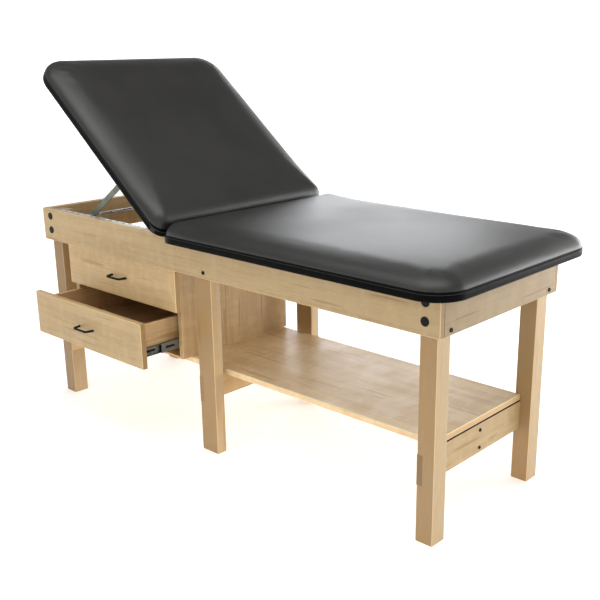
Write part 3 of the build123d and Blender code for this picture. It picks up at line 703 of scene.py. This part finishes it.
# ---------------------------------------------------------------- ball cages in the slides' slots
PLATE_STRAIGHT, PLATE_ROUND = 0.0155, 0.0037         # half length of the straight part, end radius
PLATE_HALF = 0.0003                                  # half thickness
PLATE_PLACES = (0.036, 0.110, 0.230)                 # along the member from its front end
PLATE_POINTS = 32                                    # round each plate
WEB_IN = {"inner": 0.0084, "middle": 0.0006}         # middle of the sheet from the member's side


def slot_plates(drawer, member, body):
    """Black rounded plates that fill the slots of one slide member, where its ball cage shows."""
    name = f"{drawer}_{member}_cage_plates"
    low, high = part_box(f"{drawer}_slide_{member}_members")
    middle = (low.z + high.z) / 2
    mesh = bmesh.new()
    for side, web in ((1, high.x - WEB_IN[member]), (-1, low.x + WEB_IN[member])):
        for start in PLATE_PLACES:
            centre = low.y + start
            ring = []
            for k in range(PLATE_POINTS):
                turn = 2 * math.pi * k / PLATE_POINTS
                straight = PLATE_STRAIGHT * (1 if math.cos(turn) > 0 else -1)
                y = centre + straight + PLATE_ROUND * math.cos(turn)
                ring.append((y, middle + PLATE_ROUND * math.sin(turn)))
            outer = [mesh.verts.new((web + side * PLATE_HALF, y, z)) for y, z in ring]
            inner = [mesh.verts.new((web - side * PLATE_HALF, y, z)) for y, z in ring]
            mesh.faces.new(outer)
            mesh.faces.new(list(reversed(inner)))
            for k in range(PLATE_POINTS):
                after = (k + 1) % PLATE_POINTS
                mesh.faces.new((outer[k], inner[k], inner[after], outer[after]))
    bmesh.ops.recalc_face_normals(mesh, faces=mesh.faces)
    data = bpy.data.meshes.new(name)
    mesh.to_mesh(data)
    mesh.free()
    data.materials.append(shared["black_plastic"])
    piece = add_object(name, data)
    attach(piece, body)


for drawer in ("lower", "upper"):
    for member, body in (("inner", f"{drawer}_drawer"), ("middle", f"{drawer}_slide_middle")):
        slot_plates(drawer, member, body)

# ---------------------------------------------------------------- floor, light and camera
# A round sheet of pale paper that turns up at its rim: radius and height, in metres
SWEEP = [(0.0, 0.0), (3.0, 0.0), (7.0, 0.0), (9.2, 0.0), (10.0, 0.05), (10.6, 0.25), (11.0, 0.7),
         (11.2, 1.4), (11.25, 2.3)]
TURNS = 96
sweep_points = []
for k in range(TURNS):
    turn = 2 * math.pi * k / TURNS
    for radius, z in SWEEP[1:]:
        sweep_points.append((radius * math.cos(turn), radius * math.sin(turn), z))
sweep_points.append((0, 0, 0))
rings = len(SWEEP) - 1
sweep_faces = []
for k in range(TURNS):
    after = (k + 1) % TURNS
    sweep_faces.append((len(sweep_points) - 1, k * rings, after * rings))
    for i in range(rings - 1):
        here, there = k * rings + i, after * rings + i
        sweep_faces.append((here, here + 1, there + 1, there))
floor_mesh = bpy.data.meshes.new("floor")
floor_mesh.from_pydata(sweep_points, [], sweep_faces)
for polygon in floor_mesh.polygons:
    polygon.use_smooth = True
floor = add_object("floor", floor_mesh)
paper = Nodes("pale_floor")
speck = paper.noise(paper.place(), 3.0, 3, 0.5)
paper_tone = paper.mix(paper.ramp(speck, 0.3, 0.7), colour(0.86, 0.86, 0.86),
                       colour(0.88, 0.88, 0.88))
paper.surface(Base_Color=paper_tone, Roughness=0.85)
paper.shader.inputs["Emission Color"].default_value = (1, 1, 1, 1)
# the paper glows more with distance from the table, so it fades out to white
far = paper.add("ShaderNodeVectorMath", {0: paper.place((1, 1, 0))}, operation="LENGTH")
glow = paper.ramp(far.outputs["Value"], 2.0, 8.5, 0.42, 0.96)
paper.put(paper.shader.inputs["Emission Strength"], glow)
floor.data.materials.append(paper.material)
floor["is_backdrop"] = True

# white surroundings, dimmer overhead than level with the table
world = bpy.data.worlds.new("studio")
bpy.context.scene.world = world
world.use_nodes = True
background = world.node_tree.nodes["Background"]
background.inputs[0].default_value = (1.0, 1.0, 1.0, 1.0)
sky = world.node_tree.nodes.new("ShaderNodeTexCoord")
height = world.node_tree.nodes.new("ShaderNodeSeparateXYZ")
fade = world.node_tree.nodes.new("ShaderNodeMapRange")
fade.interpolation_type = "SMOOTHSTEP"
for key, value in (("From Min", 0.38), ("From Max", 0.62), ("To Min", 0.62), ("To Max", 0.20)):
    fade.inputs[key].default_value = value
world.node_tree.links.new(sky.outputs["Generated"], height.inputs[0])
world.node_tree.links.new(height.outputs[2], fade.inputs["Value"])
world.node_tree.links.new(fade.outputs[0], background.inputs[1])


def area_light(name, place, aim, size, power, tint=(1, 1, 1)):
    light = bpy.data.lights.new(name, "AREA")
    light.shape = "RECTANGLE"
    light.size, light.size_y = size
    light.energy = power
    light.color = tint
    lamp = add_object(name, light)
    lamp.location = place
    look_along(lamp, Vector(aim) - Vector(place))


# name, place, what it points at, size in metres, watts
area_light("overhead", (0.4, -0.6, 3.3), (0.1, 0, 0.7), (3.0, 1.8), 74)
area_light("front", (0.2, -2.7, 2.9), (0, 0, 0.4), (3.0, 1.4), 14)
area_light("foot_end", (2.9, -0.5, 2.9), (0.5, 0, 0.4), (1.6, 1.6), 9)
area_light("rear_window", (-2.6, 2.8, 1.5), (0.25, 0, 0.70), (2.8, 1.4), 44, (0.95, 0.97, 1.0))
area_light("rear_fill", (1.4, 3.0, 0.9), (0.0, 0, 0.35), (2.8, 1.4), 78)

AZIMUTH, ELEVATION = math.radians(40.97), math.radians(17.05)
camera_data = bpy.data.cameras.new("camera")
camera_data.sensor_width = 36.0
camera_data.lens = 54.57
camera_data.shift_x, camera_data.shift_y = -0.079, 0.0195
camera_data.clip_start, camera_data.clip_end = 0.05, 60
camera = add_object("camera", camera_data)
camera.location = (2.0959, -2.0296, 1.3362)
look_along(camera, Vector((-math.sin(AZIMUTH) * math.cos(ELEVATION),
                           math.cos(AZIMUTH) * math.cos(ELEVATION),
                           -math.sin(ELEVATION))))
bpy.context.scene.camera = camera
bpy.context.scene.view_settings.view_transform = "Standard"

low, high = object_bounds()
